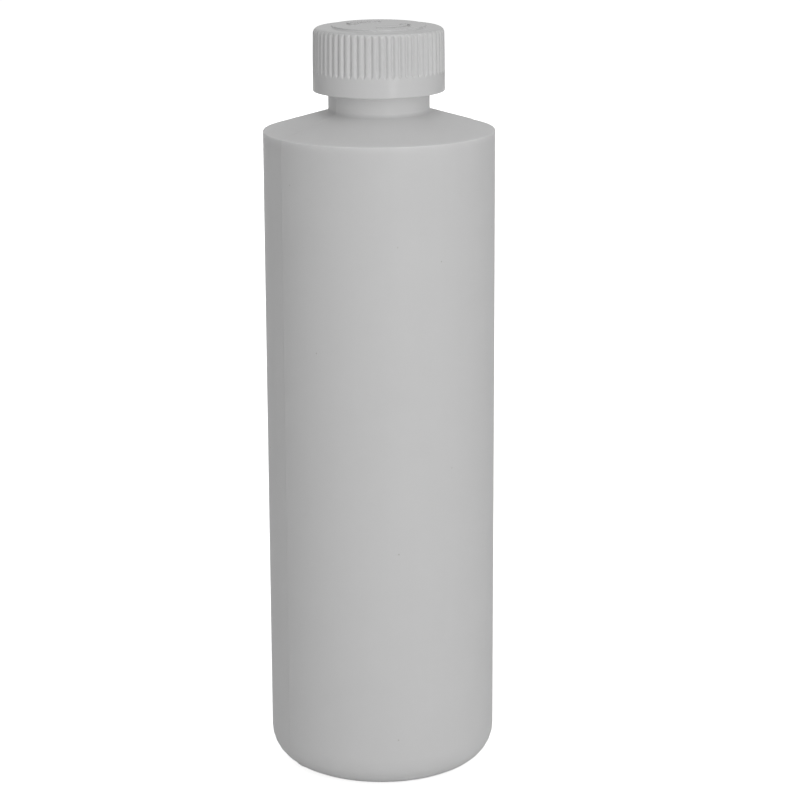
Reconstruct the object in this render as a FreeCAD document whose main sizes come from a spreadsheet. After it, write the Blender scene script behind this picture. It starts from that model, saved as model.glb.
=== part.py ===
"""Round plastic reagent bottle with a push-and-turn screw closure, standing on z = 0 with its axis on +Z."""
import FreeCAD, Part
import math
import os
import Sketcher

# Driving dimensions in millimetres, and angles in degrees
DIMENSIONS = {
    "body_diameter": 63.0,
    "shoulder_height": 179.6,
    "shoulder_slope": 16.5,
    "shoulder_edge_chamfer": 0.6,
    "base_edge_radius": 9.0,
    "bottle_wall": 1.0,
    "standing_ring_width": 3.0,
    "base_recess_depth": 2.5,
    "base_recess_side": 5.0,
    "finish_height": 17.5,
    "collar_diameter": 27.5,
    "collar_height": 7.4,
    "collar_chamfer": 0.8,
    "neck_diameter": 25.0,
    "mouth_bore": 21.5,
    "mouth_chamfer": 0.4,
    "liner_thickness": 1.0,
    "liner_clearance": 0.3,
    "thread_clearance": 0.25,
    "inner_cap_wall": 1.2,
    "inner_cap_top": 1.2,
    "inner_cap_height": 12.55,
    "flange_width": 0.8,
    "flange_height": 1.2,
    "boss_diameter": 10.8,
    "boss_height": 0.6,
    "tooth_count": 12,
    "tooth_depth": 1.0,
    "notch_width": 4.2,
    "lug_side_clearance": 0.6,
    "lug_bore_clearance": 0.1,
    "lug_gap": 0.3,
    "spring_space": 2.2,
    "spring_boss_clearance": 0.2,
    "spring_ring_width": 2.0,
    "spring_ring_thickness": 0.7,
    "finger_count": 6,
    "finger_width": 2.6,
    "finger_slot": 0.6,
    "finger_thickness": 0.6,
    "finger_length": 5.6,
    "finger_root_length": 2.2,
    "finger_tip_clearance": 0.03,
    "shell_wall": 1.53,
    "shell_draft": 0.9,
    "shell_top_thickness": 1.2,
    "shell_top_diameter": 25.0,
    "shell_bevel_slope": 13.1,
    "shell_edge_chamfer": 0.8,
    "shell_clearance": 0.4,
    "bead_width": 0.9,
    "bead_height": 1.0,
    "bead_gap": 0.05,
    "rim_height": 0.6,
    "groove_count": 57,
    "groove_start_angle": -90.0,
    "groove_width": 1.1,
    "groove_depth": 0.55,
    "groove_overcut": 0.3,
    "smooth_band_height": 5.1,
}

# Sizes and levels that follow from the driving dimensions
DERIVED = {
    "body_radius": "dims.body_diameter / 2",
    "collar_radius": "dims.collar_diameter / 2",
    "neck_radius": "dims.neck_diameter / 2",
    "bore_radius": "dims.mouth_bore / 2",
    "shoulder_rise": "tan(dims.shoulder_slope)",
    "shoulder_drop": "dims.bottle_wall / cos(dims.shoulder_slope)",
    "shoulder_chamfer_run": "dims.shoulder_edge_chamfer * cos(dims.shoulder_slope)",
    "shoulder_chamfer_rise": "dims.shoulder_edge_chamfer * sin(dims.shoulder_slope)",
    "ring_inner_radius": "body_radius - dims.base_edge_radius - dims.standing_ring_width",
    "recess_radius": "ring_inner_radius - dims.base_recess_side",
    "recess_shift": "dims.bottle_wall * tan(atan(dims.base_recess_depth / dims.base_recess_side) / 2)",
    "neck_root_level": "dims.shoulder_height + (body_radius - collar_radius) * shoulder_rise",
    "collar_level": "neck_root_level + dims.collar_height",
    "mouth_level": "neck_root_level + dims.finish_height",
    "inside_shoulder_level": "dims.shoulder_height + dims.bottle_wall * shoulder_rise - shoulder_drop",
    "inside_neck_level": "dims.shoulder_height + (body_radius - bore_radius) * shoulder_rise - shoulder_drop",
    "inside_base_radius": "dims.base_edge_radius - dims.bottle_wall",
    "inside_base_cut": "inside_base_radius * (1 - cos(45))",
    "liner_level": "mouth_level + dims.liner_thickness",
    "cap_bore_radius": "collar_radius + dims.thread_clearance",
    "cap_wall_radius": "cap_bore_radius + dims.inner_cap_wall",
    "flange_radius": "cap_wall_radius + dims.flange_width",
    "cap_top_level": "liner_level + dims.inner_cap_top",
    "cap_bottom_level": "cap_top_level - dims.inner_cap_height",
    "boss_radius": "dims.boss_diameter / 2",
    "lug_width": "dims.notch_width - 2 * dims.lug_side_clearance",
    "lug_start": "cap_bore_radius + dims.lug_bore_clearance",
    "lug_level": "cap_top_level + dims.lug_gap",
    "ceiling_level": "cap_top_level + dims.spring_space",
    "shell_top_level": "ceiling_level + dims.shell_top_thickness",
    "shell_bore_radius": "flange_radius + dims.shell_clearance",
    "shell_radius": "shell_bore_radius + dims.shell_wall",
    "bevel_rise": "tan(dims.shell_bevel_slope)",
    "top_radius": "dims.shell_top_diameter / 2",
    "ceiling_radius": "top_radius - dims.shell_top_thickness * tan(dims.shell_bevel_slope / 2)",
    "bead_level": "cap_bottom_level - dims.bead_gap",
    "shell_bottom_level": "bead_level - dims.bead_height - dims.rim_height",
    "bead_radius": "shell_bore_radius - dims.bead_width",
    "draft_rise": "tan(dims.shell_draft)",
    "shell_corner_radius": "(shell_radius - (shell_top_level + top_radius * bevel_rise"
                           " - shell_bottom_level) * draft_rise) / (1 - bevel_rise * draft_rise)",
    "shell_corner_level": "shell_top_level - (shell_corner_radius - top_radius) * bevel_rise",
    "inside_corner_level": "ceiling_level - (shell_bore_radius - ceiling_radius) * bevel_rise",
    "lug_end": "(shell_bore_radius + shell_corner_radius - dims.groove_depth) / 2",
    "lug_height": "ceiling_level - (lug_start - ceiling_radius) * bevel_rise - lug_level"
                  " + dims.shell_top_thickness / 2",
    "edge_chamfer_run": "dims.shell_edge_chamfer * cos(dims.shell_bevel_slope)",
    "edge_chamfer_rise": "dims.shell_edge_chamfer * sin(dims.shell_bevel_slope)",
    "groove_foot_level": "shell_bottom_level + dims.smooth_band_height",
    "groove_half_width": "(dims.groove_depth + dims.groove_overcut)"
                         " * dims.groove_width / dims.groove_depth / 2",
    "groove_foot_surface": "shell_radius - dims.smooth_band_height * draft_rise",
    "groove_head_surface": "groove_foot_surface - (shell_top_level - groove_foot_level) * draft_rise",
    "spring_inner_radius": "boss_radius + dims.spring_boss_clearance",
    "spring_outer_radius": "spring_inner_radius + dims.spring_ring_width",
    "finger_start": "spring_outer_radius + dims.finger_slot",
    "finger_end": "finger_start + dims.finger_width",
    "finger_rise": "dims.spring_space - dims.finger_thickness - dims.finger_tip_clearance",
}

ZERO = "0"
FULL_TURN = 360

doc = FreeCAD.newDocument("reagent_bottle")
dims = doc.addObject("Spreadsheet::Sheet", "dims")
for row, (alias, number) in enumerate(DIMENSIONS.items(), start=1):
    dims.set(f"A{row}", alias)
    dims.set(f"B{row}", str(number))
    dims.setAlias(f"B{row}", alias)
doc.recompute()

fits = doc.addObject("App::VarSet", "fits")
for name, expression in DERIVED.items():
    fits.addProperty("App::PropertyFloat", name)
    fits.setExpression(name, expression)
doc.recompute()


def value(expression):
    """The number that an expression has now."""
    return float(dims.evalExpression(expression))


def new_body(name):
    """A body whose label names its file."""
    body = doc.addObject("PartDesign::Body", name)
    body.Label = name
    return body


def origin_feature(body, role):
    """One of the body's own origin planes or axes."""
    return next(item for item in body.Origin.OriginFeatures if item.Role == role)


def new_feature(body, kind, name, **sizes):
    """A PartDesign feature with its sizes bound to expressions."""
    feature = body.newObject(f"PartDesign::{kind}", name)
    for size, expression in sizes.items():
        feature.setExpression(size, expression)
    return feature


def new_sketch(body, name, plane, level=None):
    """A sketch on one of the body's origin planes, lifted to a level if one is given."""
    sketch = body.newObject("Sketcher::SketchObject", name)
    sketch.AttachmentSupport = [(origin_feature(body, plane), "")]
    sketch.MapMode = "FlatFace"
    if level:
        sketch.setExpression("AttachmentOffset.Base.z", level)
    return sketch


def bind_size(sketch, kind, expression, *where):
    """A dimension in a sketch that follows an expression."""
    index = sketch.addConstraint(Sketcher.Constraint(kind, *where, value(expression)))
    sketch.setExpression(f"Constraints[{index}]", expression)


def bind_point(sketch, geometry, position, across, along):
    """A sketch point held at two expressions from the sketch's origin."""
    for kind, expression, axis in (("DistanceX", across, -2), ("DistanceY", along, -1)):
        if expression == ZERO:
            sketch.addConstraint(Sketcher.Constraint("PointOnObject", geometry, position, axis))
        else:
            bind_size(sketch, kind, expression, -1, 1, geometry, position)


def direction(vector):
    """The angle of a flat vector from the sketch's first axis."""
    return math.atan2(vector.y, vector.x)


def round_corner(sketch, corner, point, into, out_of, arrive, leave):
    """A tangent arc from the end of one line to the start of the next, about a bound corner point."""
    across, along, radius = corner
    centre = point + (arrive + leave - point * 2).normalize() * math.hypot(
        value(radius), (arrive - point).Length)
    counter_clockwise = (arrive - centre).cross(leave - centre).z > 0
    first, last = (arrive, leave) if counter_clockwise else (leave, arrive)
    start = direction(first - centre)
    sweep = (direction(last - centre) - start) % math.tau
    circle = Part.Circle(centre, FreeCAD.Vector(0, 0, 1), value(radius))
    arc = sketch.addGeometry(Part.ArcOfCircle(circle, start, start + sweep))
    arc_in, arc_out = (1, 2) if counter_clockwise else (2, 1)
    sketch.addConstraint(Sketcher.Constraint("Tangent", into, 2, arc, arc_in))
    sketch.addConstraint(Sketcher.Constraint("Tangent", out_of, 1, arc, arc_out))
    bind_size(sketch, "Radius", radius, arc)
    marker = sketch.addGeometry(Part.Point(point), True)
    bind_point(sketch, marker, 1, across, along)
    sketch.addConstraint(Sketcher.Constraint("PointOnObject", marker, 1, into))
    sketch.addConstraint(Sketcher.Constraint("PointOnObject", marker, 1, out_of))


def outline(sketch, corners):
    """A closed outline of lines through bound corners, each corner sharp or rounded by its radius."""
    count = len(corners)
    points = [FreeCAD.Vector(value(across), value(along), 0) for across, along, _ in corners]
    arrivals = list(points)
    departures = list(points)
    for index, (_, _, radius) in enumerate(corners):
        if radius:
            back = (points[index - 1] - points[index]).normalize()
            ahead = (points[(index + 1) % count] - points[index]).normalize()
            reach = value(radius) / math.tan(back.getAngle(ahead) / 2)
            arrivals[index] = points[index] + back * reach
            departures[index] = points[index] + ahead * reach
    for index in range(count):
        sketch.addGeometry(Part.LineSegment(departures[index], arrivals[(index + 1) % count]))
    for index, corner in enumerate(corners):
        into = (index - 1) % count
        if corner[2]:
            round_corner(sketch, corner, points[index], into, index, arrivals[index], departures[index])
        else:
            sketch.addConstraint(Sketcher.Constraint("Coincident", into, 2, index, 1))
            bind_point(sketch, index, 1, corner[0], corner[1])


def rectangle(sketch, left, right, low, high):
    """A rectangle between bound sides."""
    outline(sketch, [(left, low, None), (right, low, None), (right, high, None), (left, high, None)])


def revolve(body, name, corners):
    """A full turn of an outline, drawn in the upright plane, about the bottle's axis."""
    sketch = new_sketch(body, f"{name}_profile", "XZ_Plane")
    outline(sketch, corners)
    turned = new_feature(body, "Revolution", name)
    turned.Profile = sketch
    turned.ReferenceAxis = (sketch, ["V_Axis"])
    turned.Angle = FULL_TURN
    doc.recompute()
    return turned


def repeat(body, name, originals, count):
    """Features repeated evenly about the bottle's axis."""
    pattern = new_feature(body, "PolarPattern", name)
    pattern.Originals = originals
    pattern.Axis = (origin_feature(body, "Z_Axis"), [""])
    pattern.Angle = FULL_TURN
    pattern.setExpression("Occurrences", count)
    body.Tip = pattern
    doc.recompute()
    return pattern


def check_cut(before, after):
    """A cut that removes nothing points the wrong way."""
    if after.Shape.Volume >= before.Shape.Volume:
        raise RuntimeError(f"{after.Name} removes nothing")


# Blow-moulded bottle: recessed base, straight wall, sloping shoulder, collar and plain neck
bottle = new_body("bottle")
inside_radius = "fits.body_radius - dims.bottle_wall"
revolve(bottle, "blow_moulding", [
    (ZERO, "dims.base_recess_depth", None),
    ("fits.recess_radius", "dims.base_recess_depth", None),
    ("fits.ring_inner_radius", ZERO, None),
    ("fits.body_radius", ZERO, "dims.base_edge_radius"),
    ("fits.body_radius", "dims.shoulder_height - dims.shoulder_edge_chamfer", None),
    ("fits.body_radius - fits.shoulder_chamfer_run",
     "dims.shoulder_height + fits.shoulder_chamfer_rise", None),
    ("fits.collar_radius", "fits.neck_root_level", None),
    ("fits.collar_radius", "fits.collar_level - dims.collar_chamfer", None),
    ("fits.neck_radius", "fits.collar_level", None),
    ("fits.neck_radius", "fits.mouth_level - dims.mouth_chamfer", None),
    ("fits.neck_radius - dims.mouth_chamfer", "fits.mouth_level", None),
    ("fits.bore_radius", "fits.mouth_level", None),
    ("fits.bore_radius", "fits.inside_neck_level", None),
    (inside_radius, "fits.inside_shoulder_level", None),
    (inside_radius, "dims.base_edge_radius", None),
    (f"{inside_radius} - fits.inside_base_cut", "dims.bottle_wall + fits.inside_base_cut", None),
    ("fits.body_radius - dims.base_edge_radius", "dims.bottle_wall", None),
    ("fits.ring_inner_radius + fits.recess_shift", "dims.bottle_wall", None),
    ("fits.recess_radius + fits.recess_shift", "dims.base_recess_depth + dims.bottle_wall", None),
    (ZERO, "dims.base_recess_depth + dims.bottle_wall", None),
])

# Foam liner that seals the mouth
liner = doc.addObject("Part::Cylinder", "closure_liner")
liner.Label = "closure_liner"
liner.setExpression("Radius", "fits.cap_bore_radius - dims.liner_clearance")
liner.setExpression("Height", "dims.liner_thickness")
liner.setExpression("Placement.Base.z", "fits.mouth_level")

# Inner cap: a cup over the neck with a retaining flange, a centring boss and drive notches in its rim
inner_cap = new_body("inner_cap")
flange_level = "fits.cap_bottom_level + dims.flange_height"
boss_level = "fits.cap_top_level + dims.boss_height"
cup = revolve(inner_cap, "cup", [
    (ZERO, "fits.liner_level", None),
    ("fits.cap_bore_radius", "fits.liner_level", None),
    ("fits.cap_bore_radius", "fits.cap_bottom_level", None),
    ("fits.flange_radius", "fits.cap_bottom_level", None),
    ("fits.flange_radius", flange_level, None),
    ("fits.cap_wall_radius", flange_level, None),
    ("fits.cap_wall_radius", "fits.cap_top_level", None),
    ("fits.boss_radius", "fits.cap_top_level", None),
    ("fits.boss_radius", boss_level, None),
    (ZERO, boss_level, None),
])
notch_outline = new_sketch(inner_cap, "notch_outline", "XY_Plane", "fits.cap_top_level")
rectangle(notch_outline, "fits.cap_bore_radius", "fits.flange_radius",
          "-dims.notch_width / 2", "dims.notch_width / 2")
notch = new_feature(inner_cap, "Pocket", "notch", Length="dims.tooth_depth")
notch.Profile = notch_outline
doc.recompute()
check_cut(cup, notch)
repeat(inner_cap, "notches", [notch], "dims.tooth_count")

# Spring ring: a flat ring round the boss with fingers that climb to the outer shell's ceiling
spring_ring = new_body("spring_ring")
ring_outline = new_sketch(spring_ring, "ring_outline", "XY_Plane", "fits.cap_top_level")
for radius in ("fits.spring_inner_radius", "fits.spring_outer_radius"):
    circle = Part.Circle(FreeCAD.Vector(), FreeCAD.Vector(0, 0, 1), value(radius))
    edge = ring_outline.addGeometry(circle)
    ring_outline.addConstraint(Sketcher.Constraint("Coincident", edge, 3, -1, 1))
    bind_size(ring_outline, "Radius", radius, edge)
ring = new_feature(spring_ring, "Pad", "ring", Length="dims.spring_ring_thickness")
ring.Profile = ring_outline
root_outline = new_sketch(spring_ring, "root_outline", "XY_Plane", "fits.cap_top_level")
rectangle(root_outline, "fits.spring_outer_radius - dims.spring_ring_width / 2", "fits.finger_end",
          "-dims.finger_root_length", ZERO)
root = new_feature(spring_ring, "Pad", "root", Length="dims.finger_thickness")
root.Profile = root_outline
doc.recompute()
finger_side = new_sketch(spring_ring, "finger_side", "YZ_Plane", "fits.finger_start")
finger_tip_level = "fits.cap_top_level + fits.finger_rise"
outline(finger_side, [
    (ZERO, "fits.cap_top_level", None),
    ("dims.finger_length", finger_tip_level, None),
    ("dims.finger_length", f"{finger_tip_level} + dims.finger_thickness", None),
    (ZERO, "fits.cap_top_level + dims.finger_thickness", None),
])
finger = new_feature(spring_ring, "Pad", "finger", Length="dims.finger_width")
finger.Profile = finger_side
doc.recompute()
repeat(spring_ring, "fingers", [root, finger], "dims.finger_count")

# Outer shell: a drafted cap with a bevelled top, a retaining bead, drive lugs and a ribbed grip
outer_shell = new_body("outer_shell")
revolve(outer_shell, "shell_cup", [
    (ZERO, "fits.ceiling_level", None),
    ("fits.ceiling_radius", "fits.ceiling_level", None),
    ("fits.shell_bore_radius", "fits.inside_corner_level", None),
    ("fits.shell_bore_radius", "fits.bead_level", None),
    ("fits.bead_radius", "fits.bead_level", None),
    ("fits.bead_radius", "fits.bead_level - dims.bead_height", None),
    ("fits.shell_bore_radius", "fits.shell_bottom_level", None),
    ("fits.shell_radius", "fits.shell_bottom_level", None),
    ("fits.shell_corner_radius + dims.shell_edge_chamfer * fits.draft_rise",
     "fits.shell_corner_level - dims.shell_edge_chamfer", None),
    ("fits.shell_corner_radius - fits.edge_chamfer_run",
     "fits.shell_corner_level + fits.edge_chamfer_rise", None),
    ("fits.top_radius", "fits.shell_top_level", None),
    (ZERO, "fits.shell_top_level", None),
])
lug_outline = new_sketch(outer_shell, "lug_outline", "XY_Plane", "fits.lug_level")
rectangle(lug_outline, "fits.lug_start", "fits.lug_end", "-fits.lug_width / 2", "fits.lug_width / 2")
lug = new_feature(outer_shell, "Pad", "lug", Length="fits.lug_height")
lug.Profile = lug_outline
doc.recompute()
lugs = repeat(outer_shell, "lugs", [lug], "dims.tooth_count")
sections = []
for name, level, surface in (
    ("groove_foot", "fits.groove_foot_level", "fits.groove_foot_surface"),
    ("groove_head", "fits.shell_top_level", "fits.groove_head_surface"),
):
    section = new_sketch(outer_shell, name, "XY_Plane", level)
    section.setExpression("AttachmentOffset.Rotation.Angle", "dims.groove_start_angle")
    outline(section, [
        (f"{surface} - dims.groove_depth", ZERO, None),
        (f"{surface} + dims.groove_overcut", "-fits.groove_half_width", None),
        (f"{surface} + dims.groove_overcut", "fits.groove_half_width", None),
    ])
    sections.append(section)
groove = new_feature(outer_shell, "SubtractiveLoft", "groove")
groove.Profile = sections[0]
groove.Sections = sections[1:]
groove.Ruled = True
doc.recompute()
check_cut(lugs, groove)
grip = repeat(outer_shell, "grip", [groove], "dims.groove_count")
check_cut(groove, grip)

# Every object is sound before anything is written
doc.recompute()
for item in doc.Objects:
    if "Invalid" in item.State or "Error" in item.State:
        raise RuntimeError(f"{item.Name} failed: {item.State}")
os.makedirs("parts", exist_ok=True)
for node in (bottle, liner, inner_cap, spring_ring, outer_shell):
    shape = node.Shape
    if shape.isNull() or not shape.isValid() or len(shape.Solids) != 1:
        raise RuntimeError(f"{node.Label} is not one sound solid")
    shape.exportStep(f"parts/{node.Label}.step")
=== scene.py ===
"""Looks of a round white plastic bottle with a ribbed push-and-turn closure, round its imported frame."""
import math

import bmesh
import bpy
from mathutils import Matrix, Vector


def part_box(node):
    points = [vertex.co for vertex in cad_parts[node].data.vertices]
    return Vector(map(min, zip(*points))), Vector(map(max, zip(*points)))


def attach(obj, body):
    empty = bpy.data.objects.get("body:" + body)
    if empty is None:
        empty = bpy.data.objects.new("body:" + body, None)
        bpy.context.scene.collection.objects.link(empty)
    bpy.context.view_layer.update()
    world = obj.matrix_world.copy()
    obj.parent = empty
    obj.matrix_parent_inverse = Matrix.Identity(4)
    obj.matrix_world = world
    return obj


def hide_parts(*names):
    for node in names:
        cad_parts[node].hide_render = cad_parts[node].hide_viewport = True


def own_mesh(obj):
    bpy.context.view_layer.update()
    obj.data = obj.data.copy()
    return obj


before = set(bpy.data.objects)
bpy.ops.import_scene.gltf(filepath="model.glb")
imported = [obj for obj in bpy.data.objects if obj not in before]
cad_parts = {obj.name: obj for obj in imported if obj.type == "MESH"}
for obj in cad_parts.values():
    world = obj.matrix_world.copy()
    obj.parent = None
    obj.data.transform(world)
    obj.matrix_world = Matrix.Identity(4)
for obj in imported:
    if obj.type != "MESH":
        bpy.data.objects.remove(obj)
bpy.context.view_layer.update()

MM = 0.001
AXIS = (0, 0, 1)
ORIGIN = (0, 0, 0)
FULL_TURN = math.tau
FRONT = -math.pi / 2


def node_span(node):
    """The lowest level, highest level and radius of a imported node, in millimetres."""
    low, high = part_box(node)
    return low.z / MM, high.z / MM, high.x / MM


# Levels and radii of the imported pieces
FOOT, MOUTH, BODY_RADIUS = node_span("bottle")
LINER_FOOT, LINER_TOP, LINER_RADIUS = node_span("closure_liner")
CAP_FOOT, BOSS_TOP, FLANGE_RADIUS = node_span("inner_cap")
SPRING_FOOT, SPRING_TOP, FINGER_END = node_span("spring_ring")
SHELL_FOOT, SHELL_TOP, SHELL_RADIUS = node_span("outer_shell")

# Bottle
WALL = 1.0
SHOULDER_LEVEL = 179.6
SHOULDER_SLOPE = math.radians(16.5)
SHOULDER_ROUND = 0.2
BASE_ROUND = 9.0
RING_WIDTH = 3.0
RECESS_DEPTH = 2.5
RECESS_SIDE = 5.0
RECESS_ROUND = 3.0
COLLAR_RADIUS = 13.75
COLLAR_HEIGHT = 7.4
COLLAR_CHAMFER = 0.8
COLLAR_ROUND = 0.3
NECK_RADIUS = 12.5
NECK_ROOT_ROUND = 1.0
BORE_ROOT_ROUND = 1.5
BORE_RADIUS = 10.75
MOUTH_ROUND = 0.4
BOTTLE_STEPS = 192

# Mould marks on the bottle
PARTING_ANGLE = math.radians(215)
PARTING_WIDTH = 0.5
PARTING_HEIGHT = 0.16
PINCH_HEIGHT = 0.25
PLANE_SNAP = 1e-4
FACES_OUT = 0.2
FACES_DOWN = -0.8

# Screw thread shared by the neck and the inner cap
INCH = 25.4
THREADS_PER_INCH = 6
PITCH = INCH / THREADS_PER_INCH
NECK_THREAD_TURNS = 1.5
NECK_THREAD_START = 0.0
NECK_THREAD_CREST = 13.65
NECK_THREAD_WIDTHS = (2.3, 1.0)
NECK_THREAD_LEVEL = 196.8
CAP_THREAD_TURNS = 1.1
CAP_THREAD_START = math.radians(90)
CAP_THREAD_CREST = 12.8
CAP_THREAD_WIDTHS = (2.0, 0.84)
CAP_THREAD_LEVEL = 195.51
THREAD_LEAD = math.radians(35)
THREAD_STEPS_PER_TURN = 120
THREAD_END = 0.08
THREAD_SINK = 0.12

# Liner
LINER_SWELL = 0.06
LINER_ROUND = 0.25

# Inner cap
CAP_BORE = 14.0
CAP_WALL_RADIUS = 15.2
CAP_TOP = SPRING_FOOT
FLANGE_HEIGHT = 1.2
BOSS_RADIUS = 5.4
TOOTH_COUNT = 12
TOOTH_DEPTH = 1.0
NOTCH_WIDTH = 4.2
CAP_ROUND = 0.3
CAP_DRAFT = 0.1
CAP_STEPS = 360

# Spring ring
RING_INNER = 5.6
RING_OUTER = 7.6
RING_THICKNESS = 0.7
FINGER_COUNT = 6
FINGER_START = 8.2
FINGER_THICKNESS = 0.6
FINGER_LENGTH = 5.6
FINGER_ROOT = 2.2
SPRING_ROUND = 0.15
FINGER_EDGE = 0.08
FINGER_SEGMENTS = 2

# Outer shell
SHELL_BORE = 16.4
SHELL_DRAFT = math.radians(0.9)
SHELL_ROOF = 1.2
SHELL_CEILING = SHELL_TOP - SHELL_ROOF
CEILING_SLOPE = math.radians(13.1)
CEILING_RADIUS = 12.3
PANEL_RADIUS = 12.8
PANEL_HEIGHT = 0.45
PANEL_DRAFT = 0.1
PANEL_ROUND = 0.12
RIM_SLOPE = math.radians(3)
EDGE_ROUND = 1.5
RIM_ROUND = 0.25
BEAD_RADIUS = 15.5
BEAD_GAP = 0.05
BEAD_TOP = CAP_FOOT - BEAD_GAP
BEAD_HEIGHT = 1.0
INSIDE_ROUND = 0.5
GROOVE_COUNT = 57
GROOVE_STEPS = 12
GROOVE_WIDTH = 1.5
GROOVE_DEPTH = 0.58
GROOVE_POINT = 0.9
POINT_ROWS = 8
SMOOTH_BAND = 4.9
SKIN_MARGIN = 0.2
GROOVE_REACH = SHELL_BORE + SKIN_MARGIN
LUG_START = 14.1
LUG_END = 16.6
LUG_WIDTH = 3.0
LUG_GAP = 0.3
LUG_TIP = CAP_TOP + LUG_GAP
LUG_SINK = 0.3
LUG_ROUND = 0.2
LUG_SEGMENTS = 3

# Raised turn arrows on the closure's top
ARROW_INNER = 6.7
ARROW_OUTER = 8.2
ARROW_ARC = math.radians(80)
ARROW_HEAD_ARC = math.radians(16)
ARROW_BARB_SWEEP = ARROW_HEAD_ARC / 8
ARROW_HEAD_FLARE = 0.9
ARROW_HEIGHT = 0.3
ARROW_SINK = 0.1
ARROW_ROUND = 0.1
ARROW_SEGMENTS = 3
ARROW_STEPS = 32
ARROW_STARTS = (math.radians(-95), math.radians(85))

# Mesh finish
ROUND_SEGMENTS = 8
SUPPORT = 0.12
RUN_LENGTH = 4.0
SHARP_ANGLE = math.radians(48)
MERGE_DISTANCE = 1e-4


def turned_profile(corners, closed=False):
    """A wire through (radius, height, rounding) corners, with long runs cut into shorter ones."""
    shape = bmesh.new()
    points = [Vector((across, 0, up)) for across, up, _ in corners]
    path = []
    rounded = []
    for index, (_, _, rounding) in enumerate(corners):
        point = points[index]
        if not rounding:
            path.append(shape.verts.new(point))
            continue
        back = points[index - 1] - point
        ahead = points[(index + 1) % len(points)] - point
        reach = rounding / math.tan(back.angle(ahead) / 2)
        stand_off = reach + SUPPORT
        if stand_off < back.length / 2:
            path.append(shape.verts.new(point + back.normalized() * stand_off))
        path.append(shape.verts.new(point))
        rounded.append((path[-1], reach))
        if stand_off < ahead.length / 2:
            path.append(shape.verts.new(point + ahead.normalized() * stand_off))
    for first, second in zip(path, path[1:]):
        shape.edges.new((first, second))
    if closed:
        shape.edges.new((path[-1], path[0]))
    for vert, reach in rounded:
        bmesh.ops.bevel(shape, geom=[vert], offset=reach, offset_type="OFFSET", segments=ROUND_SEGMENTS,
                        profile=0.5, affect="VERTICES", material=-1)
    for edge in shape.edges[:]:
        cuts = int(edge.calc_length() / RUN_LENGTH)
        if cuts:
            bmesh.ops.subdivide_edges(shape, edges=[edge], cuts=cuts)
    return shape


def turn(shape, steps, angle=FULL_TURN, rise=0.0):
    """The shape's edges swept about the bottle's axis, with an even rise where it is a screw."""
    whole = angle == FULL_TURN and not rise
    bmesh.ops.spin(shape, geom=shape.verts[:] + shape.edges[:], cent=ORIGIN, axis=AXIS,
                   dvec=(0, 0, rise / steps), angle=angle, steps=steps, use_merge=whole)


def close_mesh(shape):
    """Poles and seams merged, open ends filled and every face turned outwards."""
    bmesh.ops.remove_doubles(shape, verts=shape.verts[:], dist=MERGE_DISTANCE)
    bmesh.ops.holes_fill(shape, edges=[edge for edge in shape.edges if edge.is_boundary], sides=0)
    bmesh.ops.recalc_face_normals(shape, faces=shape.faces[:])
    if shape.calc_volume(signed=True) < 0:
        bmesh.ops.reverse_faces(shape, faces=shape.faces[:])
    shape.normal_update()


def make_piece(shape, name, material, body, replaced=()):
    """A finished piece in metres that rides a body and takes a slot's finish."""
    for face in shape.faces:
        face.smooth = True
    for edge in shape.edges:
        edge.smooth = not edge.is_manifold or edge.calc_face_angle() < SHARP_ANGLE
    bmesh.ops.scale(shape, vec=(MM, MM, MM), verts=shape.verts[:])
    mesh = bpy.data.meshes.new(name)
    shape.to_mesh(mesh)
    shape.free()
    mesh.materials.append(material)
    piece = bpy.data.objects.new(name, mesh)
    bpy.context.scene.collection.objects.link(piece)
    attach(piece, body)
    if replaced:
        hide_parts(*replaced)
    return piece


def polar(radius, angle, height):
    """A point at a radius and angle round the bottle's axis."""
    return Vector((radius * math.cos(angle), radius * math.sin(angle), height))


def smooth_step(share):
    """A share from 0 to 1 eased at both ends."""
    share = min(max(share, 0.0), 1.0)
    return share * share * (3 - 2 * share)


# Bottle


def raise_mould_marks(shape):
    """The parting line up both sides of the bottle and the pinch-off scar under its base."""
    across = Vector((-math.sin(PARTING_ANGLE), math.cos(PARTING_ANGLE), 0))
    for offset in (-PARTING_WIDTH / 2, 0, PARTING_WIDTH / 2):
        bmesh.ops.bisect_plane(shape, geom=shape.verts[:] + shape.edges[:] + shape.faces[:],
                               dist=PLANE_SNAP, plane_co=across * offset, plane_no=across)
    shape.normal_update()
    moves = []
    for vert in shape.verts:
        if abs(vert.co.dot(across)) > PLANE_SNAP:
            continue
        outward = Vector((vert.co.x, vert.co.y, 0)).normalized()
        if vert.normal.dot(outward) > FACES_OUT:
            moves.append((vert, vert.normal * PARTING_HEIGHT))
        elif vert.normal.z < FACES_DOWN and vert.co.z > FOOT + RECESS_DEPTH / 2:
            moves.append((vert, vert.normal * PINCH_HEIGHT))
    for vert, move in moves:
        vert.co += move


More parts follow.
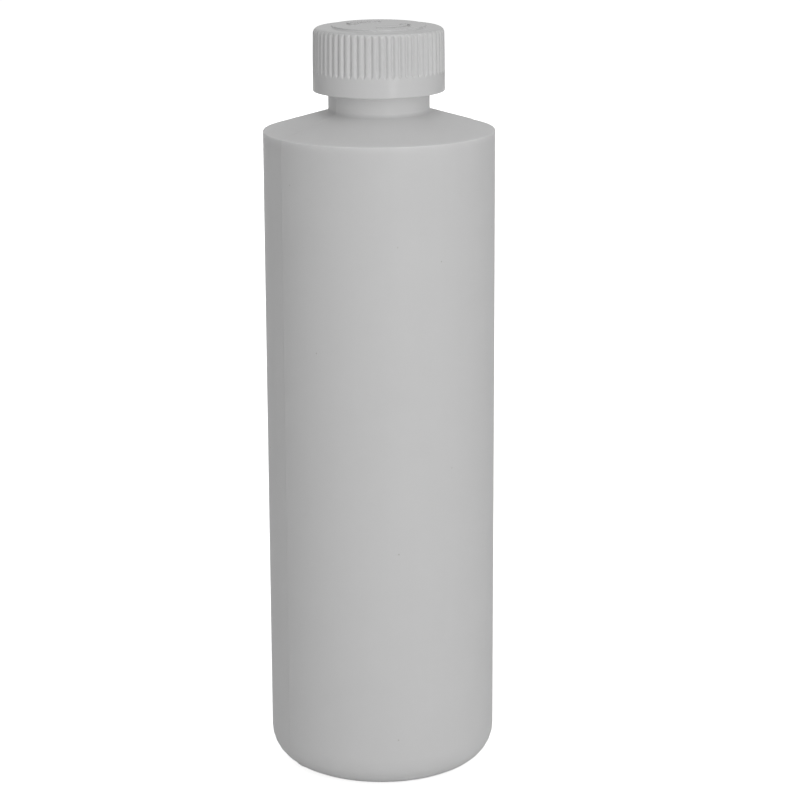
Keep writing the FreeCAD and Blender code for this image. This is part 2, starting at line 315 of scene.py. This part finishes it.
def make_bottle(material):
    """One blow moulding: recessed base, straight wall, sloping shoulder, collar and neck."""
    slope = math.tan(SHOULDER_SLOPE)
    drop = WALL / math.cos(SHOULDER_SLOPE)
    neck_root = SHOULDER_LEVEL + (BODY_RADIUS - COLLAR_RADIUS) * slope
    collar_top = neck_root + COLLAR_HEIGHT
    ring_inner = BODY_RADIUS - BASE_ROUND - RING_WIDTH
    recess = ring_inner - RECESS_SIDE
    shift = WALL * math.tan(math.atan(RECESS_DEPTH / RECESS_SIDE) / 2)
    inside = BODY_RADIUS - WALL
    shape = turned_profile([
        (0, FOOT + RECESS_DEPTH, 0),
        (recess, FOOT + RECESS_DEPTH, RECESS_ROUND),
        (ring_inner, FOOT, RECESS_ROUND),
        (BODY_RADIUS, FOOT, BASE_ROUND),
        (BODY_RADIUS, SHOULDER_LEVEL, SHOULDER_ROUND),
        (COLLAR_RADIUS, neck_root, NECK_ROOT_ROUND),
        (COLLAR_RADIUS, collar_top - COLLAR_CHAMFER, COLLAR_ROUND),
        (NECK_RADIUS, collar_top, COLLAR_ROUND),
        (NECK_RADIUS, MOUTH, MOUTH_ROUND),
        (BORE_RADIUS, MOUTH, MOUTH_ROUND),
        (BORE_RADIUS, SHOULDER_LEVEL + (BODY_RADIUS - BORE_RADIUS) * slope - drop, BORE_ROOT_ROUND),
        (inside, SHOULDER_LEVEL + WALL * slope - drop, SHOULDER_ROUND),
        (inside, FOOT + WALL, BASE_ROUND - WALL),
        (ring_inner + shift, FOOT + WALL, RECESS_ROUND - WALL),
        (recess + shift, FOOT + RECESS_DEPTH + WALL, RECESS_ROUND),
        (0, FOOT + RECESS_DEPTH + WALL, 0),
    ])
    turn(shape, BOTTLE_STEPS)
    close_mesh(shape)
    raise_mould_marks(shape)
    return make_piece(shape, "bottle_moulding", material, "bottle", ["bottle"])


def make_thread(name, root, crest, widths, middle_level, start_angle, turns, material, body):
    """A screw thread of trapezoid section that fades out at both ends; widths are at its root and crest."""
    angle = FULL_TURN * turns
    rise = PITCH * turns
    start_level = middle_level - rise / 2
    root_half, crest_half = (width / 2 for width in widths)
    shape = turned_profile([
        (root, start_level - root_half, 0),
        (crest, start_level - crest_half, 0),
        (crest, start_level + crest_half, 0),
        (root, start_level + root_half, 0),
    ], closed=True)
    turn(shape, int(THREAD_STEPS_PER_TURN * turns), angle, rise)
    for vert in shape.verts:
        radius = math.hypot(vert.co.x, vert.co.y)
        around = math.atan2(vert.co.y, vert.co.x) % FULL_TURN
        whole_turns = round((vert.co.z - start_level) / PITCH - around / FULL_TURN)
        along = around + whole_turns * FULL_TURN
        stand = max(smooth_step(min(along, angle - along) / THREAD_LEAD), THREAD_END)
        if abs(radius - crest) < abs(radius - root):
            radius = root + (crest - root) * stand
        vert.co = polar(radius, around + start_angle, vert.co.z)
    close_mesh(shape)
    return make_piece(shape, name, material, body)


# Closure


def make_liner(material):
    """A foam disc with soft edges that swells a little inside and outside the lip that it seals."""
    lip_inner = BORE_RADIUS + MOUTH_ROUND
    lip_outer = NECK_RADIUS - MOUTH_ROUND
    shape = turned_profile([
        (0, LINER_FOOT - LINER_SWELL, 0),
        (BORE_RADIUS - MOUTH_ROUND, LINER_FOOT - LINER_SWELL, LINER_ROUND),
        (lip_inner, LINER_FOOT, LINER_ROUND),
        (lip_outer, LINER_FOOT, 0),
        (LINER_RADIUS, LINER_FOOT, LINER_ROUND),
        (LINER_RADIUS, LINER_TOP, LINER_ROUND),
        (0, LINER_TOP, 0),
    ])
    turn(shape, BOTTLE_STEPS)
    close_mesh(shape)
    return make_piece(shape, "liner_disc", material, "closure_liner", ["closure_liner"])


def make_inner_cap(material):
    """The screw cup with a retaining flange, a boss for the spring and drive notches round its rim."""
    floor = CAP_TOP - TOOTH_DEPTH
    shape = turned_profile([
        (0, LINER_TOP, 0),
        (CAP_BORE, LINER_TOP, CAP_ROUND),
        (CAP_BORE, CAP_FOOT, CAP_ROUND),
        (FLANGE_RADIUS, CAP_FOOT, CAP_ROUND),
        (FLANGE_RADIUS, CAP_FOOT + FLANGE_HEIGHT, CAP_ROUND),
        (CAP_WALL_RADIUS, CAP_FOOT + FLANGE_HEIGHT, CAP_ROUND),
        (CAP_WALL_RADIUS, CAP_TOP - CAP_DRAFT, 0),
        (CAP_WALL_RADIUS - CAP_DRAFT, CAP_TOP, 0),
        (CAP_BORE + CAP_DRAFT, CAP_TOP, 0),
        (CAP_BORE, CAP_TOP, 0),
        (BOSS_RADIUS, CAP_TOP, CAP_ROUND),
        (BOSS_RADIUS, BOSS_TOP, CAP_ROUND),
        (0, BOSS_TOP, 0),
    ])
    turn(shape, CAP_STEPS)
    close_mesh(shape)
    tooth_pitch = FULL_TURN / TOOTH_COUNT
    for vert in shape.verts:
        radius = math.hypot(vert.co.x, vert.co.y)
        around = math.atan2(vert.co.y, vert.co.x)
        aside = radius * abs((around + tooth_pitch / 2) % tooth_pitch - tooth_pitch / 2)
        if radius > CAP_BORE + CAP_DRAFT / 2 and vert.co.z > floor and aside < NOTCH_WIDTH / 2:
            vert.co.z = floor - (CAP_TOP - vert.co.z)
    shape.normal_update()
    return make_piece(shape, "inner_cap_cup", material, "inner_cap", ["inner_cap"])


def make_spring(material):
    """A flat ring with springy fingers that climb to the outer shell's ceiling."""
    shape = turned_profile([
        (RING_INNER, SPRING_FOOT, SPRING_ROUND),
        (RING_OUTER, SPRING_FOOT, SPRING_ROUND),
        (RING_OUTER, SPRING_FOOT + RING_THICKNESS, SPRING_ROUND),
        (RING_INNER, SPRING_FOOT + RING_THICKNESS, SPRING_ROUND),
    ], closed=True)
    turn(shape, BOTTLE_STEPS)
    close_mesh(shape)
    finger_outline = (
        (RING_OUTER - SPRING_ROUND, -FINGER_ROOT),
        (FINGER_END, -FINGER_ROOT),
        (FINGER_END, 0),
        (FINGER_END, FINGER_LENGTH),
        (FINGER_START, FINGER_LENGTH),
        (FINGER_START, 0),
        (RING_OUTER - SPRING_ROUND, 0),
    )
    climb = SPRING_TOP - SPRING_FOOT - FINGER_THICKNESS
    finger = bmesh.new()
    flat = finger.faces.new([finger.verts.new((x, y, SPRING_FOOT)) for x, y in finger_outline])
    raised = bmesh.ops.extrude_face_region(finger, geom=[flat], use_keep_orig=True)["geom"]
    tops = [item for item in raised if isinstance(item, bmesh.types.BMVert)]
    bmesh.ops.translate(finger, vec=(0, 0, FINGER_THICKNESS), verts=tops)
    for vert in finger.verts:
        vert.co.z += climb * max(vert.co.y, 0) / FINGER_LENGTH
    bmesh.ops.recalc_face_normals(finger, faces=finger.faces[:])
    bmesh.ops.bevel(finger, geom=finger.edges[:], offset=FINGER_EDGE, offset_type="OFFSET",
                    segments=FINGER_SEGMENTS, profile=0.5, affect="EDGES", material=-1)
    cast = bpy.data.meshes.new("finger")
    finger.to_mesh(cast)
    finger.free()
    for _ in range(FINGER_COUNT):
        cast.transform(Matrix.Rotation(FULL_TURN / FINGER_COUNT, 4, "Z"))
        shape.from_mesh(cast)
    bpy.data.meshes.remove(cast)
    bmesh.ops.recalc_face_normals(shape, faces=shape.faces[:])
    piece = make_piece(shape, "spring_fingers", material, "spring_ring", ["spring_ring"])
    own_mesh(piece)
    return piece


def cut_grip(shape):
    """The grip's grooves: pointed at the foot, and open over the rounded top edge."""
    pitch = FULL_TURN / GROOVE_COUNT
    groove_foot = SHELL_FOOT + SMOOTH_BAND
    for vert in shape.verts:
        radius = math.hypot(vert.co.x, vert.co.y)
        skin = SHELL_RADIUS - (vert.co.z - SHELL_FOOT) * math.tan(SHELL_DRAFT)
        if radius < GROOVE_REACH or vert.co.z < groove_foot:
            continue
        around = math.atan2(vert.co.y, vert.co.x)
        aside = skin * abs((around - FRONT + pitch / 2) % pitch - pitch / 2)
        share = min((vert.co.z - groove_foot) / GROOVE_POINT, 1.0)
        width = GROOVE_WIDTH * share
        if aside < width / 2:
            depth = GROOVE_DEPTH * share * (1 + math.cos(FULL_TURN * aside / width)) / 2
            radius = min(radius, skin - depth)
            vert.co = polar(radius, around, vert.co.z)


def make_shell(material):
    """The outer shell: a drafted skirt, a ribbed grip, a raised top panel and a retaining bead inside."""
    draft = math.tan(SHELL_DRAFT)
    rise = math.tan(RIM_SLOPE)
    panel_foot = SHELL_TOP - PANEL_HEIGHT
    reach = SHELL_RADIUS - (panel_foot + PANEL_RADIUS * rise - SHELL_FOOT) * draft
    corner = reach / (1 - rise * draft)
    corner_level = panel_foot - (corner - PANEL_RADIUS) * rise
    inside_corner = SHELL_CEILING - (SHELL_BORE - CEILING_RADIUS) * math.tan(CEILING_SLOPE)
    groove_foot = SHELL_FOOT + SMOOTH_BAND
    shape = turned_profile([
        (0, SHELL_CEILING, 0),
        (CEILING_RADIUS, SHELL_CEILING, INSIDE_ROUND),
        (SHELL_BORE, inside_corner, INSIDE_ROUND),
        (SHELL_BORE, BEAD_TOP, RIM_ROUND),
        (BEAD_RADIUS, BEAD_TOP, RIM_ROUND),
        (BEAD_RADIUS, BEAD_TOP - BEAD_HEIGHT, RIM_ROUND),
        (SHELL_BORE, SHELL_FOOT, RIM_ROUND),
        (SHELL_RADIUS, SHELL_FOOT, RIM_ROUND),
        (corner, corner_level, EDGE_ROUND),
        (PANEL_RADIUS, panel_foot, PANEL_ROUND),
        (PANEL_RADIUS - PANEL_DRAFT, SHELL_TOP, PANEL_ROUND),
        (0, SHELL_TOP, 0),
    ])
    for index in range(POINT_ROWS + 1):
        level = groove_foot + GROOVE_POINT * index / POINT_ROWS
        skin_edges = [edge for edge in shape.edges if all(vert.co.x > GROOVE_REACH for vert in edge.verts)]
        skin_verts = {vert for edge in skin_edges for vert in edge.verts}
        bmesh.ops.bisect_plane(shape, geom=list(skin_verts) + skin_edges, dist=PLANE_SNAP,
                               plane_co=(0, 0, level), plane_no=AXIS)
    bmesh.ops.rotate(shape, verts=shape.verts[:], cent=ORIGIN, matrix=Matrix.Rotation(FRONT, 3, "Z"))
    sector = FULL_TURN / GROOVE_COUNT
    turn(shape, GROOVE_STEPS, sector)
    cut_grip(shape)
    bmesh.ops.spin(shape, geom=shape.verts[:] + shape.edges[:] + shape.faces[:], cent=ORIGIN, axis=AXIS,
                   dvec=ORIGIN, angle=FULL_TURN - sector, steps=GROOVE_COUNT - 1, use_duplicate=True)
    close_mesh(shape)
    return make_piece(shape, "shell_cup", material, "outer_shell", ["outer_shell"])


def make_lugs(material):
    """The drive lugs under the shell's top, with softened edges."""
    top = SHELL_CEILING + LUG_SINK - (LUG_START - CEILING_RADIUS) * math.tan(CEILING_SLOPE)
    shape = bmesh.new()
    for index in range(TOOTH_COUNT):
        lug = bmesh.ops.create_cube(shape, size=1)["verts"]
        bmesh.ops.scale(shape, vec=(LUG_END - LUG_START, LUG_WIDTH, top - LUG_TIP), verts=lug)
        bmesh.ops.translate(shape, vec=((LUG_START + LUG_END) / 2, 0, (top + LUG_TIP) / 2), verts=lug)
        turn_by = Matrix.Rotation(index * FULL_TURN / TOOTH_COUNT, 3, "Z")
        bmesh.ops.rotate(shape, verts=lug, cent=ORIGIN, matrix=turn_by)
    bmesh.ops.bevel(shape, geom=shape.edges[:], offset=LUG_ROUND, offset_type="OFFSET",
                    segments=LUG_SEGMENTS, profile=0.5, affect="EDGES", material=-1)
    return make_piece(shape, "drive_lugs", material, "outer_shell")


def make_turn_arrows(material):
    """Two low curved arrows that show which way the closure unscrews."""
    shape = bmesh.new()
    for start in ARROW_STARTS:
        inner = shape.verts.new(polar(ARROW_INNER, start, SHELL_TOP))
        outer = shape.verts.new(polar(ARROW_OUTER, start, SHELL_TOP))
        edge = shape.edges.new((inner, outer))
        swept = bmesh.ops.spin(shape, geom=[inner, outer, edge], cent=ORIGIN, axis=AXIS,
                               dvec=ORIGIN, angle=ARROW_ARC, steps=ARROW_STEPS)["geom_last"]
        tail = [item for item in swept if isinstance(item, bmesh.types.BMEdge)]
        flare = bmesh.ops.extrude_edge_only(shape, edges=tail)["geom"]
        end = start + ARROW_ARC
        for vert in (item for item in flare if isinstance(item, bmesh.types.BMVert)):
            radius = math.hypot(vert.co.x, vert.co.y)
            radius += math.copysign(ARROW_HEAD_FLARE, radius - (ARROW_INNER + ARROW_OUTER) / 2)
            vert.co = polar(radius, end - ARROW_BARB_SWEEP, SHELL_TOP)
        barbs = [item for item in flare if isinstance(item, bmesh.types.BMEdge) and item.is_boundary]
        barb = max(barbs, key=lambda item: item.calc_length())
        point = bmesh.ops.extrude_edge_only(shape, edges=[barb])["geom"]
        tip = polar((ARROW_INNER + ARROW_OUTER) / 2, end + ARROW_HEAD_ARC, SHELL_TOP)
        for vert in (item for item in point if isinstance(item, bmesh.types.BMVert)):
            vert.co = tip
    bmesh.ops.remove_doubles(shape, verts=shape.verts[:], dist=MERGE_DISTANCE)
    bmesh.ops.recalc_face_normals(shape, faces=shape.faces[:])
    bmesh.ops.translate(shape, vec=(0, 0, -ARROW_SINK), verts=shape.verts[:])
    raised = bmesh.ops.extrude_face_region(shape, geom=shape.faces[:], use_keep_orig=True)["geom"]
    tops = [item for item in raised if isinstance(item, bmesh.types.BMVert)]
    bmesh.ops.translate(shape, vec=(0, 0, ARROW_SINK + ARROW_HEIGHT), verts=tops)
    bmesh.ops.recalc_face_normals(shape, faces=shape.faces[:])
    level = SHELL_TOP + ARROW_HEIGHT / 2
    rims = [edge for edge in shape.edges
            if edge.calc_face_angle(0) > SHARP_ANGLE and all(vert.co.z > level for vert in edge.verts)]
    bmesh.ops.bevel(shape, geom=rims, offset=ARROW_ROUND, offset_type="OFFSET", segments=ARROW_SEGMENTS,
                    profile=0.5, affect="EDGES", material=-1)
    return make_piece(shape, "turn_arrows", material, "outer_shell")


# Materials

# Depths in millimetres to which red, green and blue light spreads in a translucent wall
GLOW_DEPTH = (4.5, 4.5, 4.5)

# Patterns of the moulded skin that all its plastics share
CLOUD_DETAIL = 3.0
STREAK_STRETCH = (1.0, 1.0, 0.02)
STREAK_SCALE = 420.0
STREAK_DETAIL = 2.0
GRAIN_DETAIL = 2.0
SPECK_SCALE = 110.0
RELIEF_DEPTH = 0.05 * MM


def add_node(tree, kind, **settings):
    """A shader node with its settings."""
    node = tree.nodes.new(kind)
    for setting, chosen in settings.items():
        setattr(node, setting, chosen)
    return node


def moulded_skin_group():
    """Colour, roughness and height of moulded plastic: cloudy tone, draw streaks, fine grain and specks."""
    group = bpy.data.node_groups.new("moulded_skin", "ShaderNodeTree")
    for name, kind in (
        ("Place", "NodeSocketVector"), ("Tone", "NodeSocketColor"), ("Cloud Tone", "NodeSocketColor"),
        ("Speck Tone", "NodeSocketColor"), ("Cloud Scale", "NodeSocketFloat"),
        ("Streaks", "NodeSocketFloat"), ("Grain Scale", "NodeSocketFloat"),
        ("Speck Size", "NodeSocketFloat"), ("Gloss Low", "NodeSocketFloat"),
        ("Gloss High", "NodeSocketFloat"),
    ):
        group.interface.new_socket(name, in_out="INPUT", socket_type=kind)
    for name, kind in (
        ("Colour", "NodeSocketColor"), ("Roughness", "NodeSocketFloat"), ("Height", "NodeSocketFloat"),
    ):
        group.interface.new_socket(name, in_out="OUTPUT", socket_type=kind)
    source = add_node(group, "NodeGroupInput")
    sink = add_node(group, "NodeGroupOutput")
    link = group.links.new

    cloud = add_node(group, "ShaderNodeTexNoise")
    cloud.inputs["Detail"].default_value = CLOUD_DETAIL
    link(source.outputs["Place"], cloud.inputs["Vector"])
    link(source.outputs["Cloud Scale"], cloud.inputs["Scale"])

    stretch = add_node(group, "ShaderNodeVectorMath", operation="MULTIPLY")
    stretch.inputs[1].default_value = STREAK_STRETCH
    link(source.outputs["Place"], stretch.inputs[0])
    streak = add_node(group, "ShaderNodeTexNoise")
    streak.inputs["Scale"].default_value = STREAK_SCALE
    streak.inputs["Detail"].default_value = STREAK_DETAIL
    link(stretch.outputs["Vector"], streak.inputs["Vector"])
    streak_share = add_node(group, "ShaderNodeMath", operation="MULTIPLY")
    link(streak.outputs["Fac"], streak_share.inputs[0])
    link(source.outputs["Streaks"], streak_share.inputs[1])

    grain = add_node(group, "ShaderNodeTexNoise")
    grain.inputs["Detail"].default_value = GRAIN_DETAIL
    link(source.outputs["Place"], grain.inputs["Vector"])
    link(source.outputs["Grain Scale"], grain.inputs["Scale"])

    speck = add_node(group, "ShaderNodeTexVoronoi")
    speck.inputs["Scale"].default_value = SPECK_SCALE
    link(source.outputs["Place"], speck.inputs["Vector"])
    speck_mask = add_node(group, "ShaderNodeMath", operation="LESS_THAN")
    link(speck.outputs["Distance"], speck_mask.inputs[0])
    link(source.outputs["Speck Size"], speck_mask.inputs[1])

    clouded = add_node(group, "ShaderNodeMix", data_type="RGBA")
    link(cloud.outputs["Fac"], clouded.inputs["Factor"])
    link(source.outputs["Tone"], clouded.inputs["A"])
    link(source.outputs["Cloud Tone"], clouded.inputs["B"])
    streaked = add_node(group, "ShaderNodeMix", data_type="RGBA")
    link(streak_share.outputs["Value"], streaked.inputs["Factor"])
    link(clouded.outputs["Result"], streaked.inputs["A"])
    link(source.outputs["Cloud Tone"], streaked.inputs["B"])
    specked = add_node(group, "ShaderNodeMix", data_type="RGBA")
    link(speck_mask.outputs["Value"], specked.inputs["Factor"])
    link(streaked.outputs["Result"], specked.inputs["A"])
    link(source.outputs["Speck Tone"], specked.inputs["B"])
    link(specked.outputs["Result"], sink.inputs["Colour"])

    gloss = add_node(group, "ShaderNodeMapRange")
    link(cloud.outputs["Fac"], gloss.inputs["Value"])
    link(source.outputs["Gloss Low"], gloss.inputs["To Min"])
    link(source.outputs["Gloss High"], gloss.inputs["To Max"])
    link(gloss.outputs["Result"], sink.inputs["Roughness"])

    height = add_node(group, "ShaderNodeMath", operation="ADD")
    link(grain.outputs["Fac"], height.inputs[0])
    link(streak_share.outputs["Value"], height.inputs[1])
    link(height.outputs["Value"], sink.inputs["Height"])
    return group


def plastic(name, group, bump, translucence, **values):
    """A moulded plastic with its own values of the shared skin."""
    material = bpy.data.materials.new(name)
    material.use_nodes = True
    tree = material.node_tree
    shader = tree.nodes["Principled BSDF"]
    skin = add_node(tree, "ShaderNodeGroup", node_tree=group)
    for socket, chosen in values.items():
        skin.inputs[socket.replace("_", " ").title()].default_value = chosen
    place = add_node(tree, "ShaderNodeTexCoord")
    relief = add_node(tree, "ShaderNodeBump")
    relief.inputs["Strength"].default_value = bump
    relief.inputs["Distance"].default_value = RELIEF_DEPTH
    shader.inputs["Subsurface Weight"].default_value = translucence
    shader.inputs["Subsurface Radius"].default_value = GLOW_DEPTH
    shader.inputs["Subsurface Scale"].default_value = MM
    tree.links.new(place.outputs["Object"], skin.inputs["Place"])
    tree.links.new(skin.outputs["Colour"], shader.inputs["Base Color"])
    tree.links.new(skin.outputs["Roughness"], shader.inputs["Roughness"])
    tree.links.new(skin.outputs["Height"], relief.inputs["Height"])
    tree.links.new(relief.outputs["Normal"], shader.inputs["Normal"])
    return material


# Studio

CAMERA_LENS = 120.02
CAMERA_TARGET = Vector((5.354, 0, 103.82)) * MM
CAMERA_DISTANCE = 741.93 * MM
CAMERA_ELEVATION = math.radians(14.482)
CAMERA_ROLL = math.radians(0.234)
FLOOR_HALF = 6.0
FLOOR_DROP = 0.1 * MM
FLOOR_TONE = (0.8, 0.8, 0.8, 1)
FLOOR_ROUGHNESS = 0.9
FLOOR_GLOW = 0.8

# Softboxes: name, degrees right of the camera, distance, level, level aimed at, width, height, power,
# and whether glossy faces mirror it
SOFTBOXES = (
    ("key_softbox", 24.5, 0.6, 0.31, 0.31, 0.15, 0.6, 0.27, True),
    ("front_softbox", 22, 1.3, 0.2, 0.1, 1.0, 0.36, 3.05, False),
    ("high_softbox", 15, 1.0, 1.1, 0.15, 1.0, 0.8, 3.1, True),
    ("top_softbox", 0, 0.25, 1.35, 0.1, 1.2, 1.2, 2.7, True),
    ("backdrop", 180, 1.5, 0.55, 0.55, 3.0, 0.8, 1.5, True),
    ("left_back_softbox", -165, 1.4, 0.5, 0.1, 0.8, 0.8, 3.0, False),
    ("right_back_softbox", 165, 1.4, 0.5, 0.1, 0.8, 0.8, 3.0, False),
)
WORLD_STRENGTH = 0.295
WHITE = (1, 1, 1, 1)


def make_camera():
    """The photo's viewpoint: in front, looking a little down."""
    lens = bpy.data.cameras.new("camera")
    lens.lens = CAMERA_LENS
    camera = bpy.data.objects.new("camera", lens)
    away = Vector((0, -math.cos(CAMERA_ELEVATION), math.sin(CAMERA_ELEVATION)))
    tilt = Matrix.Rotation(math.pi / 2 - CAMERA_ELEVATION, 4, "X")
    roll = Matrix.Rotation(-CAMERA_ROLL, 4, "Z")
    camera.matrix_world = Matrix.Translation(CAMERA_TARGET + away * CAMERA_DISTANCE) @ tilt @ roll
    bpy.context.scene.collection.objects.link(camera)
    bpy.context.scene.camera = camera


def make_softbox(name, aside, distance, level, aim, width, height, power, mirrored):
    """A soft rectangular light that faces the bottle's axis at the level it aims at."""
    box = bpy.data.lights.new(name, "AREA")
    box.shape = "RECTANGLE"
    box.size = width
    box.size_y = height
    box.energy = power
    light = bpy.data.objects.new(name, box)
    place = polar(distance, math.radians(aside) + FRONT, level)
    facing = (place - Vector((0, 0, aim))).to_track_quat("Z", "Y")
    light.matrix_world = Matrix.Translation(place) @ facing.to_matrix().to_4x4()
    light.visible_camera = False
    light.visible_glossy = mirrored
    bpy.context.scene.collection.objects.link(light)


def make_floor():
    """A plain pale floor, lifted towards white for the camera, that keeps a faint contact shadow."""
    shape = bmesh.new()
    bmesh.ops.create_grid(shape, x_segments=1, y_segments=1, size=FLOOR_HALF)
    bmesh.ops.translate(shape, vec=(0, 0, -FLOOR_DROP), verts=shape.verts[:])
    mesh = bpy.data.meshes.new("floor")
    shape.to_mesh(mesh)
    shape.free()
    material = bpy.data.materials.new("pale_floor")
    material.use_nodes = True
    tree = material.node_tree
    shader = tree.nodes["Principled BSDF"]
    shader.inputs["Base Color"].default_value = FLOOR_TONE
    shader.inputs["Roughness"].default_value = FLOOR_ROUGHNESS
    glow = add_node(tree, "ShaderNodeEmission")
    glow.inputs["Strength"].default_value = FLOOR_GLOW
    seen = add_node(tree, "ShaderNodeLightPath")
    lift = add_node(tree, "ShaderNodeMixShader")
    tree.links.new(seen.outputs["Is Camera Ray"], lift.inputs["Fac"])
    tree.links.new(glow.outputs["Emission"], lift.inputs[2])
    both = add_node(tree, "ShaderNodeAddShader")
    tree.links.new(shader.outputs["BSDF"], both.inputs[0])
    tree.links.new(lift.outputs["Shader"], both.inputs[1])
    tree.links.new(both.outputs["Shader"], tree.nodes["Material Output"].inputs["Surface"])
    mesh.materials.append(material)
    floor = bpy.data.objects.new("floor", mesh)
    bpy.context.scene.collection.objects.link(floor)


def make_studio():
    """Floor, lights, surroundings and camera."""
    make_floor()
    for softbox in SOFTBOXES:
        make_softbox(*softbox)
    world = bpy.data.worlds.new("studio")
    world.use_nodes = True
    surround = world.node_tree.nodes["Background"]
    surround.inputs["Color"].default_value = WHITE
    surround.inputs["Strength"].default_value = WORLD_STRENGTH
    horizon = add_node(world.node_tree, "ShaderNodeBackground")
    horizon.inputs["Color"].default_value = WHITE
    seen = add_node(world.node_tree, "ShaderNodeLightPath")
    either = add_node(world.node_tree, "ShaderNodeMixShader")
    link = world.node_tree.links.new
    link(seen.outputs["Is Camera Ray"], either.inputs["Fac"])
    link(surround.outputs["Background"], either.inputs[1])
    link(horizon.outputs["Background"], either.inputs[2])
    link(either.outputs["Shader"], world.node_tree.nodes["World Output"].inputs["Surface"])
    bpy.context.scene.world = world
    bpy.context.scene.view_settings.view_transform = "Standard"
    make_camera()


skin = moulded_skin_group()
bottle_plastic = plastic(
    "bottle_plastic", skin, bump=0.25, translucence=0.5,
    tone=(0.82, 0.82, 0.82, 1), cloud_tone=(0.785, 0.785, 0.785, 1), speck_tone=(0.6, 0.6, 0.57, 1),
    cloud_scale=60.0, streaks=0.5, grain_scale=2600.0, speck_size=0.022, gloss_low=0.34, gloss_high=0.44)
shell_plastic = plastic(
    "shell_plastic", skin, bump=0.1, translucence=0.0,
    tone=(0.72, 0.72, 0.72, 1), cloud_tone=(0.695, 0.695, 0.695, 1), speck_tone=(0.58, 0.58, 0.55, 1),
    cloud_scale=150.0, streaks=0.1, grain_scale=3200.0, speck_size=0.018, gloss_low=0.07, gloss_high=0.11)
inner_cap_plastic = plastic(
    "inner_cap_plastic", skin, bump=0.2, translucence=0.0,
    tone=(0.8, 0.8, 0.785, 1), cloud_tone=(0.76, 0.76, 0.74, 1), speck_tone=(0.5, 0.5, 0.47, 1),
    cloud_scale=180.0, streaks=0.1, grain_scale=3000.0, speck_size=0.03, gloss_low=0.34, gloss_high=0.46)
spring_plastic = plastic(
    "spring_plastic", skin, bump=0.2, translucence=0.0,
    tone=(0.75, 0.76, 0.74, 1), cloud_tone=(0.7, 0.71, 0.69, 1), speck_tone=(0.5, 0.5, 0.47, 1),
    cloud_scale=220.0, streaks=0.1, grain_scale=3000.0, speck_size=0.03, gloss_low=0.36, gloss_high=0.5)
liner_foam = plastic(
    "liner_foam", skin, bump=0.8, translucence=0.0,
    tone=(0.82, 0.82, 0.79, 1), cloud_tone=(0.76, 0.76, 0.73, 1), speck_tone=(0.66, 0.66, 0.62, 1),
    cloud_scale=900.0, streaks=0.0, grain_scale=4200.0, speck_size=0.08, gloss_low=0.75, gloss_high=0.9)

make_bottle(bottle_plastic)
make_thread("neck_thread", NECK_RADIUS - THREAD_SINK, NECK_THREAD_CREST, NECK_THREAD_WIDTHS,
            NECK_THREAD_LEVEL, NECK_THREAD_START, NECK_THREAD_TURNS,
            bottle_plastic, "bottle")
make_liner(liner_foam)
make_inner_cap(inner_cap_plastic)
make_thread("inner_cap_thread", CAP_BORE + THREAD_SINK, CAP_THREAD_CREST, CAP_THREAD_WIDTHS,
            CAP_THREAD_LEVEL, CAP_THREAD_START, CAP_THREAD_TURNS,
            inner_cap_plastic, "inner_cap")
make_spring(spring_plastic)
make_shell(shell_plastic)
make_lugs(shell_plastic)
make_turn_arrows(shell_plastic)
make_studio()
